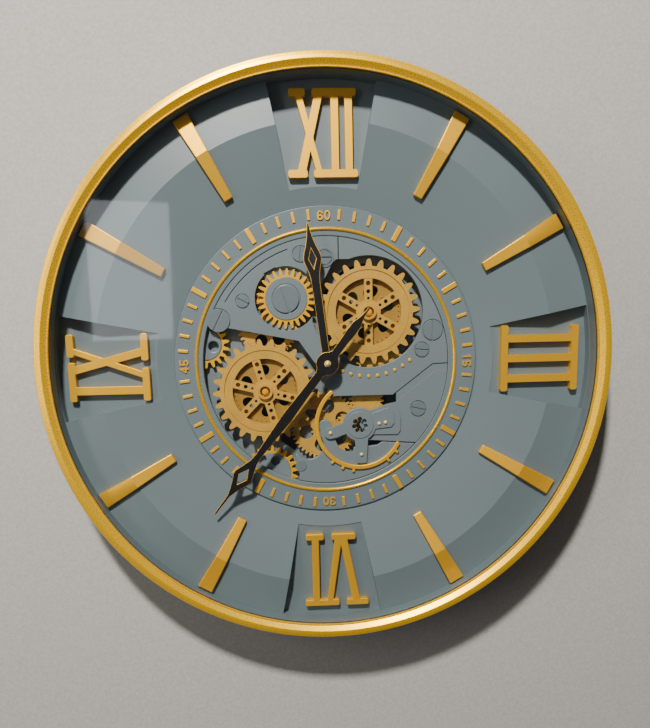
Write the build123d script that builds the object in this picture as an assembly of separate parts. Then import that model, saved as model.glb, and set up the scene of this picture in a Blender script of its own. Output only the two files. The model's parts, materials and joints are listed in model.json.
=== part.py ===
from build123d import *
import math
import os

# Skeleton wall clock, 596 mm across, built as separate pieces.
# Frame in millimetres: X to the right, Y into the wall, Z up.
# The origin is on the hand axis, in the plane of the wall.
# A "height" below is the distance in front of the wall, so a height h lies at Y = -h.

os.makedirs("parts", exist_ok=True)

# ---- driving dimensions -------------------------------------------------
BEZEL_RADIUS = 298.0
BEZEL_INNER_RADIUS = 282.5
BEZEL_SKIRT_RADIUS = 295.5
BEZEL_SKIRT_REAR = 55.0
BEZEL_SKIRT_TOP = 62.0
BEZEL_RIDGE_RADIUS = 290.0
CLOCK_DEPTH = 76.0

CASE_RADIUS = 291.0
CASE_WALL = 2.0
CASE_FRONT = 64.0
CASE_LEDGE_TOP = 7.0
CASE_LEDGE_RADIUS = 276.0
BACK_PANEL_RADIUS = 286.0
BACK_PANEL_THICKNESS = 3.0

GLASS_REAR = 68.0
GLASS_THICKNESS = 3.0
GLASS_RADIUS = 287.0
GASKET_THICKNESS = 1.0

DIAL_WALL_RADIUS = 283.0
DIAL_WALL_THICKNESS = 3.0
DIAL_SKIN = 3.0
DIAL_CREASE_RADIUS = 240.0
DIAL_CREASE_HEIGHT = 56.0
DIAL_BAND_HEIGHT = 50.0
CONE_FOOT_RADIUS = 161.5
CONE_FOOT_HEIGHT = 39.5

RECESS_INNER_RADIUS = 179.0
RECESS_INNER_HEIGHT = 42.4
RECESS_OUTER_HEIGHT = 38.0
RECESS_HALF_ANGLE = 11.25
RECESS_WALL = 2.5
DIAL_HOLLOW_REAR = 30.0

PLATE_TOP = 42.0
PLATE_THICKNESS = 6.0
PLATE_REAR = PLATE_TOP - PLATE_THICKNESS
PLATE_RADIUS = 130.4
RING_INNER_RADIUS = 131.0
RING_OUTER_RADIUS = 161.0
RING_THICKNESS = 3.0
BEAD_RADIUS = 138.0
BEAD_WIDTH = 3.8
BEAD_HEIGHT = 1.9

NUMERAL_THICKNESS = 7.0
NUMERAL_INNER = 186.5
NUMERAL_OUTER = 271.5
SERIF_DEPTH = 7.5
HOUR_BAR_INNER = 192.0
HOUR_BAR_OUTER = 281.0
HOUR_BAR_INNER_WIDTH = 9.5
HOUR_BAR_OUTER_WIDTH = 17.0
HOUR_BAR_THICKNESS = 5.0
MARK_THICKNESS = 1.4

MAIN_PLATE_REAR = 24.0
MAIN_PLATE_FRONT = 27.0
MAIN_PLATE_RADIUS = 158.0

UPPER_WHEEL = (45.5, 52.5)
LOWER_WHEEL = (-66.5, -28.5)
CROWN_WHEEL = (-41.0, 68.0)
BALANCE_CENTRE = (34.5, -67.0)
LEFT_ORNAMENT = (-128.0, 22.0)
LOWER_ORNAMENT = (-63.0, -118.0)
WINDOW_RADIUS = 58.0

GEAR_MODULE = 1.6
PRESSURE_ANGLE = 20.0
TOOTH_BACKLASH = 0.28
DRIVE_REAR = 31.0
DRIVE_FRONT = 34.0
TRAIN_REAR = 28.0
TRAIN_FRONT = 30.4
ARBOR_RADIUS = 2.0
ARBOR_HOLE_RADIUS = 2.08
ARBOR_REAR = 21.6

LOWER_TEETH = 48
THIRD_TEETH = 45
SMALL_TEETH = 22
IDLER_TEETH = 30
UPPER_TEETH = 40
LEFT_TEETH = 40
MOTOR_TEETH = 16
THIRD_PINION_TEETH = 19
BALANCE_WHEEL_TEETH = 28

RIM_REAR = 37.0
RIM_FRONT = 43.0
HUB_FRONT = 46.0
DISC_REAR = 34.8
DISC_FRONT = 36.0

HOUR_HAND_REAR = 56.0
MINUTE_HAND_REAR = 59.0
HAND_THICKNESS = 1.6
HOUR_HAND_ANGLE = 353.0
MINUTE_HAND_ANGLE = 218.4

HANGER_HEIGHT = 228.0
HANG_HOLE_RADIUS = 5.0
HANGER_THICKNESS = 1.5

FULL_TURN = 360.0


# ---- helpers ------------------------------------------------------------
def front(height):
    """Plane parallel to the dial at a height, with its normal towards the viewer."""
    return Plane(origin=(0, -height, 0), x_dir=(1, 0, 0), z_dir=(0, -1, 0))


def slab(sketch, rear, face):
    """Flat piece with the outline of the sketch, from one height to another."""
    return extrude(front(rear) * sketch, amount=face - rear)


def outline(points):
    """Flat face through a closed list of points, always counterclockwise so that it extrudes forwards."""
    following = points[1:] + points[:1]
    doubled_area = sum(a[0] * b[1] - b[0] * a[1] for a, b in zip(points, following))
    ordered = points if doubled_area > 0 else list(reversed(points))
    return Polygon(*ordered, align=None)


def turned(points):
    """Solid turned about the hand axis from a closed list of (radius, height) points."""
    section = Plane(origin=(0, 0, 0), x_dir=(1, 0, 0), z_dir=(0, 0, -1)) * outline(points)
    return revolve(section, Axis.Y)


def disc(centre, radius):
    return Pos(centre[0], centre[1]) * Circle(radius)


def ring(centre, outer_radius, inner_radius):
    return disc(centre, outer_radius) - disc(centre, inner_radius)


def bar(centre, length, width, angle=0.0):
    """Rectangle at a place, turned counterclockwise by an angle."""
    return Pos(centre[0], centre[1]) * Rot(0, 0, angle) * Rectangle(length, width)


def around(shape, clock_angle):
    """Turn a solid about the hand axis, clockwise as the viewer sees it."""
    return Rot(0, clock_angle, 0) * shape


def clock_place(radius, clock_angle):
    angle = math.radians(clock_angle)
    return radius * math.sin(angle), radius * math.cos(angle)


def polar(centre, radius, angle):
    """Point at a counterclockwise angle in degrees from a centre."""
    turn = math.radians(angle)
    return centre[0] + radius * math.cos(turn), centre[1] + radius * math.sin(turn)


def direction(start, end):
    return math.degrees(math.atan2(end[1] - start[1], end[0] - start[0]))


def save(name, pieces):
    """Write one node. A list of pieces becomes a group of separate solids."""
    solids = []
    for piece in pieces if isinstance(pieces, list) else [pieces]:
        solids.extend(piece.solids())
    whole = solids[0] if len(solids) == 1 else Compound(children=solids)
    whole.label = name
    export_step(whole, f"parts/{name}.step")
    print(f"{name}: {len(solids)} solids")


# ---- gear teeth ---------------------------------------------------------
def involute(angle):
    return math.tan(angle) - angle


def gear_outline(centre, teeth, phase):
    """Involute gear outline. phase is the direction of one tooth, in degrees."""
    flank_steps = 4
    pitch_radius = GEAR_MODULE * teeth / 2
    base_radius = pitch_radius * math.cos(math.radians(PRESSURE_ANGLE))
    tip_radius = pitch_radius + 0.95 * GEAR_MODULE
    root_radius = pitch_radius - 1.25 * GEAR_MODULE
    start_radius = max(base_radius, root_radius)
    half_thickness = math.pi / (2 * teeth) - TOOTH_BACKLASH / (4 * pitch_radius)
    half_at_base = half_thickness + involute(math.radians(PRESSURE_ANGLE))
    flank = [(root_radius, half_at_base)] if root_radius < base_radius else []
    for step in range(flank_steps + 1):
        radius = start_radius + (tip_radius - start_radius) * step / flank_steps
        roll = math.acos(min(1.0, base_radius / radius))
        flank.append((radius, half_at_base - involute(roll)))
    points = []
    for tooth in range(teeth):
        middle = math.radians(phase) + 2 * math.pi * tooth / teeth
        side_one = [(radius, middle - half) for radius, half in flank]
        side_two = [(radius, middle + half) for radius, half in reversed(flank)]
        for radius, angle in side_one + side_two:
            points.append((centre[0] + radius * math.cos(angle), centre[1] + radius * math.sin(angle)))
    return outline(points)


def meshed_phase(centre, teeth, phase, mate_centre, mate_teeth):
    """Phase that puts the mate's teeth in the gaps of the first gear."""
    line = direction(centre, mate_centre)
    offset = (phase - line) * teeth / mate_teeth
    return line + 180.0 + 180.0 / mate_teeth - offset


def gear_distance(teeth, mate_teeth):
    return GEAR_MODULE * (teeth + mate_teeth) / 2


def towards(start, target, distance):
    return polar(start, distance, direction(start, target))


def cut_teeth(centre, teeth, tip_radius, root_radius, tip_width, root_width, phase):
    """Tapered clock-wheel teeth on an open rim, as an outline."""
    points = []
    shoulder_radius = root_radius + 0.62 * (tip_radius - root_radius)
    shoulder_width = tip_width + 0.45 * (root_width - tip_width)
    corner = 0.15 * (tip_radius - root_radius)
    profile = [
        (root_radius, root_width / 2),
        (shoulder_radius, shoulder_width / 2),
        (tip_radius - corner, tip_width / 2 + 0.1),
        (tip_radius, tip_width / 2 - 0.6),
    ]
    for tooth in range(teeth):
        middle = phase + FULL_TURN * tooth / teeth
        side_one = [(radius, -half) for radius, half in profile]
        side_two = [(radius, half) for radius, half in reversed(profile)]
        for radius, across in side_one + side_two:
            points.append(polar(centre, radius, middle + math.degrees(across / radius)))
    return outline(points)


# ---- places of the gear train -------------------------------------------
LOWER_PHASE = 3.0
THIRD = towards(LOWER_WHEEL, (-3.0, -68.0), gear_distance(LOWER_TEETH, THIRD_TEETH))
SMALL = towards(THIRD, (43.0, -41.0), gear_distance(THIRD_TEETH, SMALL_TEETH))
LEFT_WHEEL = towards(LOWER_WHEEL, (-61.0, 42.0), gear_distance(LOWER_TEETH, LEFT_TEETH))
BALANCE_WHEEL = towards(THIRD, BALANCE_CENTRE, gear_distance(THIRD_PINION_TEETH, BALANCE_WHEEL_TEETH))


def third_corner(first, first_distance, second, second_distance):
    """Point at given distances from two others, on the right of the line between them."""
    span = math.dist(first, second)
    along = (first_distance**2 - second_distance**2 + span**2) / (2 * span)
    aside = math.sqrt(first_distance**2 - along**2)
    foot = polar(first, along, direction(first, second))
    return polar(foot, aside, direction(first, second) - 90.0)


IDLER = third_corner(
    SMALL,
    gear_distance(SMALL_TEETH, IDLER_TEETH),
    UPPER_WHEEL,
    gear_distance(UPPER_TEETH, IDLER_TEETH),
)
MOTOR_SHAFT = polar(IDLER, gear_distance(IDLER_TEETH, MOTOR_TEETH), 0.0)

THIRD_PHASE = meshed_phase(LOWER_WHEEL, LOWER_TEETH, LOWER_PHASE, THIRD, THIRD_TEETH)
LEFT_PHASE = meshed_phase(LOWER_WHEEL, LOWER_TEETH, LOWER_PHASE, LEFT_WHEEL, LEFT_TEETH)
SMALL_PHASE = meshed_phase(THIRD, THIRD_TEETH, THIRD_PHASE, SMALL, SMALL_TEETH)
IDLER_PHASE = meshed_phase(SMALL, SMALL_TEETH, SMALL_PHASE, IDLER, IDLER_TEETH)
UPPER_PHASE = meshed_phase(IDLER, IDLER_TEETH, IDLER_PHASE, UPPER_WHEEL, UPPER_TEETH)
MOTOR_PHASE = meshed_phase(IDLER, IDLER_TEETH, IDLER_PHASE, MOTOR_SHAFT, MOTOR_TEETH)
BALANCE_PHASE = meshed_phase(THIRD, THIRD_PINION_TEETH, 0.0, BALANCE_WHEEL, BALANCE_WHEEL_TEETH)

ARBOR_PLACES = [LOWER_WHEEL, UPPER_WHEEL, THIRD, SMALL, IDLER, LEFT_WHEEL]


# ---- case, bezel, glass -------------------------------------------------
def make_case():
    inside = CASE_RADIUS - CASE_WALL
    rear_rim = BACK_PANEL_RADIUS + 0.5
    save("case_shell", turned([
        (rear_rim, 0), (CASE_RADIUS, 0), (CASE_RADIUS, CASE_FRONT), (inside, CASE_FRONT),
        (inside, CASE_LEDGE_TOP), (CASE_LEDGE_RADIUS, CASE_LEDGE_TOP),
        (CASE_LEDGE_RADIUS, BACK_PANEL_THICKNESS), (rear_rim, BACK_PANEL_THICKNESS),
    ]))


def make_bezel():
    """Gold ring: skirt over the case, round edge, ridge between two sloping faces, and a small inner lip."""
    seat = CASE_RADIUS - CASE_WALL
    skirt_inside = CASE_RADIUS + 0.2
    glass_face = GLASS_REAR + GLASS_THICKNESS
    edge_steps = 6
    edge_width = 2.6
    edge_depth = 7.0
    outer_face_drop = 1.0
    groove_radius = BEZEL_INNER_RADIUS + 1.7
    groove_drop = 3.5
    lip_drop = 2.6
    edge = []
    for step in range(edge_steps + 1):
        turn = math.radians(75.0 * step / edge_steps)
        edge.append((
            BEZEL_RADIUS - edge_width + edge_width * math.cos(turn),
            CLOCK_DEPTH - outer_face_drop - edge_depth + edge_depth * math.sin(turn),
        ))
    save("bezel_ring", turned([
        (seat, glass_face), (seat, CASE_FRONT), (skirt_inside, CASE_FRONT),
        (skirt_inside, BEZEL_SKIRT_REAR), (BEZEL_SKIRT_RADIUS, BEZEL_SKIRT_REAR),
        (BEZEL_SKIRT_RADIUS, BEZEL_SKIRT_TOP), (BEZEL_RADIUS - 1.4, BEZEL_SKIRT_TOP + 2.0), *edge,
        (BEZEL_RIDGE_RADIUS + 3.0, CLOCK_DEPTH - 0.4),
        (BEZEL_RIDGE_RADIUS + 0.4, CLOCK_DEPTH - 0.05), (BEZEL_RIDGE_RADIUS, CLOCK_DEPTH),
        (BEZEL_RIDGE_RADIUS - 0.5, CLOCK_DEPTH - 0.15),
        (groove_radius + 0.3, CLOCK_DEPTH - groove_drop + 0.1), (groove_radius, CLOCK_DEPTH - groove_drop),
        (groove_radius - 0.7, CLOCK_DEPTH - lip_drop), (BEZEL_INNER_RADIUS + 0.5, CLOCK_DEPTH - lip_drop),
        (BEZEL_INNER_RADIUS, CLOCK_DEPTH - lip_drop - 0.6), (BEZEL_INNER_RADIUS, glass_face),
    ]))


def make_bezel_screws():
    """Radial screws through the bezel's skirt into the case wall."""
    screw_height = 58.2
    hole = Plane(origin=(0, -screw_height, 0), x_dir=(0, 1, 0), z_dir=(0, 0, 1))
    screws = []
    for index in range(8):
        head = extrude(hole * Circle(2.6), amount=1.4)
        slot = extrude(hole * Pos(0, 0, 0.7) * Rectangle(6.0, 0.8), amount=1.4)
        screw = Pos(0, 0, BEZEL_SKIRT_RADIUS) * (head - slot)
        screws.append(around(screw, 22.5 + 45.0 * index))
    save("bezel_screws", screws)


def make_glass():
    gasket_rear = GLASS_REAR - GASKET_THICKNESS
    save("front_glass", slab(Circle(GLASS_RADIUS), GLASS_REAR, GLASS_REAR + GLASS_THICKNESS))
    save("glass_gasket", slab(ring((0, 0), GLASS_RADIUS, DIAL_WALL_RADIUS), gasket_rear, GLASS_REAR))


# ---- dial ---------------------------------------------------------------
def recess_outline(inner_radius, outer_radius, extra):
    """Sector at twelve o'clock, widened on both sides by an extra distance."""
    side = math.radians(RECESS_HALF_ANGLE)
    shift = extra / math.cos(side)
    reach = outer_radius + 20.0
    wedge = outline([
        (-shift, 0), (shift, 0),
        (shift + reach * math.tan(side), reach), (-shift - reach * math.tan(side), reach),
    ])
    return (Circle(outer_radius) - Circle(inner_radius)) & wedge


def make_dial():
    """Coned dial with a deep wall. Between its four recesses it is hollowed out from behind to a skin."""
    wall_outer = DIAL_WALL_RADIUS + DIAL_WALL_THICKNESS
    flange_top = PLATE_TOP - RING_THICKNESS
    glass_seat = GLASS_REAR - GASKET_THICKNESS
    foot_inside = CONE_FOOT_RADIUS + 2.5
    foot_rear = CONE_FOOT_HEIGHT - DIAL_SKIN + 0.5
    rear_slope = (DIAL_CREASE_HEIGHT - DIAL_SKIN - foot_rear) / (DIAL_CREASE_RADIUS - foot_inside)
    tray_inside = RECESS_INNER_RADIUS - RECESS_WALL
    hollow_inside = RECESS_INNER_RADIUS + 1.0
    hollow_outside = DIAL_WALL_RADIUS - 0.5
    band_slope = (DIAL_CREASE_HEIGHT - DIAL_BAND_HEIGHT) / (DIAL_WALL_RADIUS - DIAL_CREASE_RADIUS)
    dial = turned([
        (RING_INNER_RADIUS, PLATE_REAR), (RING_INNER_RADIUS, flange_top), (CONE_FOOT_RADIUS, flange_top),
        (CONE_FOOT_RADIUS, CONE_FOOT_HEIGHT), (DIAL_CREASE_RADIUS, DIAL_CREASE_HEIGHT),
        (DIAL_WALL_RADIUS, DIAL_BAND_HEIGHT), (DIAL_WALL_RADIUS, glass_seat), (wall_outer, glass_seat),
        (wall_outer, CASE_LEDGE_TOP), (DIAL_WALL_RADIUS, CASE_LEDGE_TOP),
        (DIAL_WALL_RADIUS, RECESS_OUTER_HEIGHT - DIAL_SKIN),
        (tray_inside, foot_rear + rear_slope * (tray_inside - foot_inside)),
        (foot_inside, foot_rear), (foot_inside, PLATE_REAR),
    ])
    rear_hollow = turned([
        (hollow_inside, foot_rear + rear_slope * (hollow_inside - foot_inside)),
        (DIAL_CREASE_RADIUS, DIAL_CREASE_HEIGHT - DIAL_SKIN),
        (hollow_outside, DIAL_BAND_HEIGHT - DIAL_SKIN + band_slope * (DIAL_WALL_RADIUS - hollow_outside)),
        (hollow_outside, DIAL_HOLLOW_REAR), (hollow_inside, DIAL_HOLLOW_REAR),
    ])
    recess = turned([
        (RECESS_INNER_RADIUS, RECESS_INNER_HEIGHT), (RECESS_INNER_RADIUS, GLASS_REAR + 2.0),
        (hollow_outside, GLASS_REAR + 2.0), (hollow_outside, RECESS_OUTER_HEIGHT),
    ])
    sector = slab(recess_outline(RECESS_INNER_RADIUS - 10, DIAL_WALL_RADIUS + 10, 0.0), DIAL_HOLLOW_REAR, 75.0)
    wide_sector = slab(
        recess_outline(RECESS_INNER_RADIUS - 20, DIAL_WALL_RADIUS + 20, RECESS_WALL), DIAL_HOLLOW_REAR - 5, 75.0)
    recess = recess & sector
    for quarter in range(4):
        dial = dial - around(recess, 90.0 * quarter)
        rear_hollow = rear_hollow - around(wide_sector, 90.0 * quarter)
    for pocket in rear_hollow.solids():
        dial = dial - pocket
    save("dial_plate", dial)


def make_chapter_ring():
    flange_top = PLATE_TOP - RING_THICKNESS
    save("chapter_ring", slab(ring((0, 0), RING_OUTER_RADIUS, RING_INNER_RADIUS), flange_top, PLATE_TOP))
    half = BEAD_WIDTH / 2
    crown_steps = 8
    crown = []
    for step in range(crown_steps + 1):
        turn = math.radians(180.0 * step / crown_steps)
        crown.append((BEAD_RADIUS - half * math.cos(turn), PLATE_TOP + BEAD_HEIGHT * math.sin(turn)))
    save("chapter_bead", turned(crown))


def make_marks():
    """Raised minute marks: a wide one every five minutes, none where a number stands."""
    marks = []
    for minute in range(60):
        if minute % 15 == 0:
            continue
        wide = minute % 5 == 0
        inner, outer, width = (143.5, 160.0, 5.0) if wide else (147.0, 157.5, 3.0)
        mark = slab(bar((0, (inner + outer) / 2), width, outer - inner), PLATE_TOP, PLATE_TOP + MARK_THICKNESS)
        marks.append(around(mark, 6.0 * minute))
    save("minute_marks", marks)


DIGIT_HEIGHT = 9.5
DIGIT_WIDTH = 6.2
DIGIT_STROKE = 1.5


def oval(centre_height, height):
    outer = Pos(0, centre_height) * Ellipse(DIGIT_WIDTH / 2, height / 2)
    inner = Pos(0, centre_height) * Ellipse(DIGIT_WIDTH / 2 - DIGIT_STROKE, height / 2 - DIGIT_STROKE)
    return outer - inner


def digit(number):
    """Plain digit outline, centred, with its feet down."""
    half = DIGIT_HEIGHT / 2
    side = DIGIT_WIDTH / 2 - DIGIT_STROKE / 2
    bowl = 0.58 * DIGIT_HEIGHT
    lower_bowl = oval(-half + bowl / 2, bowl)
    left_part = Pos(-DIGIT_WIDTH / 2, 0) * Rectangle(DIGIT_WIDTH, 2 * DIGIT_HEIGHT)
    if number == 0:
        return oval(0, DIGIT_HEIGHT)
    if number == 1:
        flag = outline([(-2.0, half - 2.6), (-2.0, half - 1.4), (0.0, half), (0.0, half - 2.0)])
        return bar((0.2, 0), DIGIT_STROKE, DIGIT_HEIGHT) + flag
    if number == 3:
        upper_bowl = oval(half - bowl / 2, bowl)
        stub = outline([(-DIGIT_WIDTH, -1.4), (0.0, -0.4), (0.0, 0.4), (-DIGIT_WIDTH, 1.4)])
        notch = (Pos(-DIGIT_WIDTH / 2, 0) * Rectangle(DIGIT_WIDTH, 0.42 * DIGIT_HEIGHT)) + stub
        return (upper_bowl + lower_bowl) - notch
    if number == 4:
        upright = bar((1.0, 0), DIGIT_STROKE, DIGIT_HEIGHT)
        shelf = bar((0, -1.6), DIGIT_WIDTH, DIGIT_STROKE)
        slope = outline([(-3.1, -0.9), (-3.1, -2.3), (-1.4, -0.9), (0.6, half - 1.6), (0.6, half)])
        return upright + shelf + slope
    if number == 5:
        open_bowl = lower_bowl - (left_part & (Pos(-2.0, -1.9) * Rectangle(4.0, 1.4)))
        return open_bowl + bar((0.2, half - 0.75), 5.0, DIGIT_STROKE) + bar((-side + 0.3, 1.9), 1.4, 4.2)
    tall = oval(0, DIGIT_HEIGHT) - (Pos(DIGIT_WIDTH / 2, 0) * Rectangle(DIGIT_WIDTH, 3.6))
    return tall + lower_bowl


def make_numbers():
    spacing = 7.4
    radius = 151.0
    numbers = []
    for text, clock_angle in (((6, 0), 0.0), ((1, 5), 90.0), ((3, 0), 180.0), ((4, 5), 270.0)):
        for place, number in enumerate(text):
            across = (place - 0.5) * spacing
            glyph = slab(Pos(across, radius) * digit(number), PLATE_TOP, PLATE_TOP + MARK_THICKNESS)
            numbers.append(around(glyph, clock_angle))
    save("minute_numbers", numbers)


# ---- roman numerals and hour bars ---------------------------------------
def numeral_plane():
    """Plane of the recess floor at twelve o'clock, with its y axis running outwards."""
    drop = (RECESS_INNER_HEIGHT - RECESS_OUTER_HEIGHT) / (DIAL_WALL_RADIUS - RECESS_INNER_RADIUS)
    tilt = math.atan(drop)
    return Plane(
        origin=(0, -RECESS_INNER_HEIGHT, RECESS_INNER_RADIUS),
        x_dir=(1, 0, 0),
        z_dir=(0, -math.cos(tilt), math.sin(tilt)),
    )


def stroke(inner_left, inner_right, outer_left, outer_right):
    inner = NUMERAL_INNER + SERIF_DEPTH / 2
    outer = NUMERAL_OUTER - SERIF_DEPTH / 2
    return outline([(inner_left, inner), (inner_right, inner), (outer_right, outer), (outer_left, outer)])


def serif(left, right, outer_end):
    radius = NUMERAL_OUTER - SERIF_DEPTH / 2 if outer_end else NUMERAL_INNER + SERIF_DEPTH / 2
    return Pos((left + right) / 2, radius) * RectangleRounded(right - left, SERIF_DEPTH, 2.2)


def make_numerals():
    """Each numeral lies on its recess floor with its feet towards the hands."""
    twelve = (
        stroke(-26.0, -17.5, -6.5, 1.5) + stroke(-6.0, 0.0, -27.0, -20.5)
        + stroke(9.0, 16.5, 9.0, 16.5) + stroke(23.0, 30.5, 23.0, 30.5)
        + serif(-35.0, -15.5, False) + serif(-9.0, 35.5, False)
        + serif(-33.0, -16.5, True) + serif(-9.5, 34.5, True)
    )
    three = (
        stroke(-25.5, -17.5, -25.5, -17.5) + stroke(-4.5, 3.5, -4.5, 3.5) + stroke(17.0, 25.0, 17.0, 25.0)
        + serif(-35.5, 34.5, False) + serif(-35.5, 34.5, True)
    )
    six = (
        stroke(13.0, 21.0, 13.0, 21.0) + stroke(-18.0, -9.5, -33.0, -24.0) + stroke(-13.0, -5.0, -1.5, 5.0)
        + serif(7.5, 27.5, False) + serif(-28.0, -1.0, False)
        + serif(-9.0, 29.5, True) + serif(-42.0, -17.0, True)
    )
    nine = (
        stroke(-27.5, -19.0, -27.5, -19.0) + stroke(13.0, 21.5, -6.5, 2.0) + stroke(-11.5, -5.0, 16.0, 22.5)
        + serif(-34.5, 0.0, False) + serif(7.5, 35.5, False)
        + serif(-34.5, 6.5, True) + serif(12.0, 35.5, True)
    )
    glyphs = (("twelve", twelve, 0.0), ("three", three, 90.0), ("six", six, 180.0), ("nine", nine, 270.0))
    for name, glyph, clock_angle in glyphs:
        flat = numeral_plane() * Pos(0, -RECESS_INNER_RADIUS) * glyph
        save(f"numeral_{name}", around(extrude(flat, amount=NUMERAL_THICKNESS), clock_angle))


def make_hour_bars():
    """Bars bent at the dial's crease, resting on the cone and on the outer band."""
    lift = 0.1
    cone_slope = (DIAL_CREASE_HEIGHT - CONE_FOOT_HEIGHT) / (DIAL_CREASE_RADIUS - CONE_FOOT_RADIUS)
    band_slope = (DIAL_CREASE_HEIGHT - DIAL_BAND_HEIGHT) / (DIAL_WALL_RADIUS - DIAL_CREASE_RADIUS)
    inner = DIAL_CREASE_HEIGHT - cone_slope * (DIAL_CREASE_RADIUS - HOUR_BAR_INNER) + lift
    crease = DIAL_CREASE_HEIGHT + lift
    outer = DIAL_CREASE_HEIGHT - band_slope * (HOUR_BAR_OUTER - DIAL_CREASE_RADIUS) + lift
    side = Plane(origin=(-20, 0, 0), x_dir=(0, 0, 1), z_dir=(1, 0, 0))
    profile = outline([
        (HOUR_BAR_INNER, inner), (DIAL_CREASE_RADIUS, crease), (HOUR_BAR_OUTER, outer),
        (HOUR_BAR_OUTER, outer + HOUR_BAR_THICKNESS), (DIAL_CREASE_RADIUS, crease + HOUR_BAR_THICKNESS),
        (HOUR_BAR_INNER, inner + HOUR_BAR_THICKNESS),
    ])
    body = extrude(side * profile, amount=40)
    trapezium = outline([
        (-HOUR_BAR_INNER_WIDTH / 2, HOUR_BAR_INNER), (HOUR_BAR_INNER_WIDTH / 2, HOUR_BAR_INNER),
        (HOUR_BAR_OUTER_WIDTH / 2, HOUR_BAR_OUTER), (-HOUR_BAR_OUTER_WIDTH / 2, HOUR_BAR_OUTER),
    ])
    single = body & slab(trapezium, 30.0, 70.0)
    bars = [around(single, 30.0 * hour) for hour in range(12) if hour % 3]
    save("hour_bars", bars)


# ---- plates -------------------------------------------------------------
PLATE_SCREWS = {
    "upper_left": [((-87.0, 66.5), 6.8, -28.0), ((-113.0, 47.0), 12.0, 62.0), ((-25.0, 113.0), 8.0, 84.0)],
    "right": [((114.0, 32.5), 10.5, 88.0), ((102.5, 12.0), 7.5, -4.0)],
    "lower_right": [((98.5, -51.0), 8.0, -13.0)],
}
CENTRE_SCREW = (0.0, 109.0)
LOWER_STUD = (-30.5, -110.5)
PILLARS = [
    (-113.0, 47.0), (-25.0, 113.0), (-20.0, 16.0), (114.0, 32.5), (118.0, 6.0), (25.0, -22.0),
    (98.5, -51.0), (100.0, -74.0), (-30.5, -110.5), (75.0, -100.0),
]
DIAL_PILLAR_ANGLES = [20.0, 65.0, 110.0, 155.0, 185.0, 240.0, 310.0]
DIAL_PILLAR_RADIUS = 148.0
REAR_POSTS = [(-120.0, 60.0), (-120.0, -60.0), (130.0, 60.0), (130.0, -60.0), (0.0, -130.0), (0.0, 130.0)]


def make_main_plate():
    plate = Circle(MAIN_PLATE_RADIUS)
    spokes = [bar(UPPER_WHEEL, 110.0, 12.0, angle) for angle in (20.0, 80.0, 140.0)]
    plate -= ring(UPPER_WHEEL, 51.0, 42.0) - spokes[0] - spokes[1] - spokes[2]
    for centre, web_angles in ((UPPER_WHEEL, (10.0, 130.0, 225.0)), (LOWER_WHEEL, (30.0, 120.0, 240.0))):
        opening = ring(centre, 34.0, 17.0)
        for angle in web_angles:
            opening -= bar(polar(centre, 26.0, angle), 24.0, 12.0, angle)
        plate -= opening
    plate -= disc(CROWN_WHEEL, 26.0) & outline([(-80, 100), (-46, 100), (-58, 40), (-80, 40)])
    plate -= outline([(52, -50), (80, -50), (80, -30), (62, -30)])
    plate -= outline([(-48, -72), (-30, -80), (-36, -96), (-52, -84)])
    plate -= outline([(44, -82), (60, -82), (60, -92), (44, -92)])
    plate -= Circle(6.0)
    plate -= disc(MOTOR_SHAFT, 8.0)
    for place in ARBOR_PLACES:
        plate -= disc(place, ARBOR_HOLE_RADIUS)
    solid = slab(plate, MAIN_PLATE_REAR, MAIN_PLATE_FRONT)
    stud = slab(disc(BALANCE_WHEEL, ARBOR_RADIUS), MAIN_PLATE_REAR, TRAIN_FRONT)
    save("main_plate", solid + stud)
    pillars = [slab(disc(place, 3.4), MAIN_PLATE_FRONT, PLATE_REAR) for place in PILLARS]
    for clock_angle in DIAL_PILLAR_ANGLES:
        place = clock_place(DIAL_PILLAR_RADIUS, clock_angle)
        pillars.append(slab(disc(place, 4.0), MAIN_PLATE_FRONT, PLATE_REAR))
    for x, z in REAR_POSTS:
        pillars.append(slab(disc((x, z), 5.0), BACK_PANEL_THICKNESS, MAIN_PLATE_REAR))
    save("plate_pillars", pillars)


def screw_grooves(group):
    """Circular grooves in the plate round the screw heads of a group."""
    grooves = []
    for place, radius, _ in PLATE_SCREWS[group]:
        grooves.append(slab(ring(place, radius + 0.8, radius), PLATE_TOP - 1.0, PLATE_TOP + 1.0))
    return Compound(children=grooves)


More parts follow.
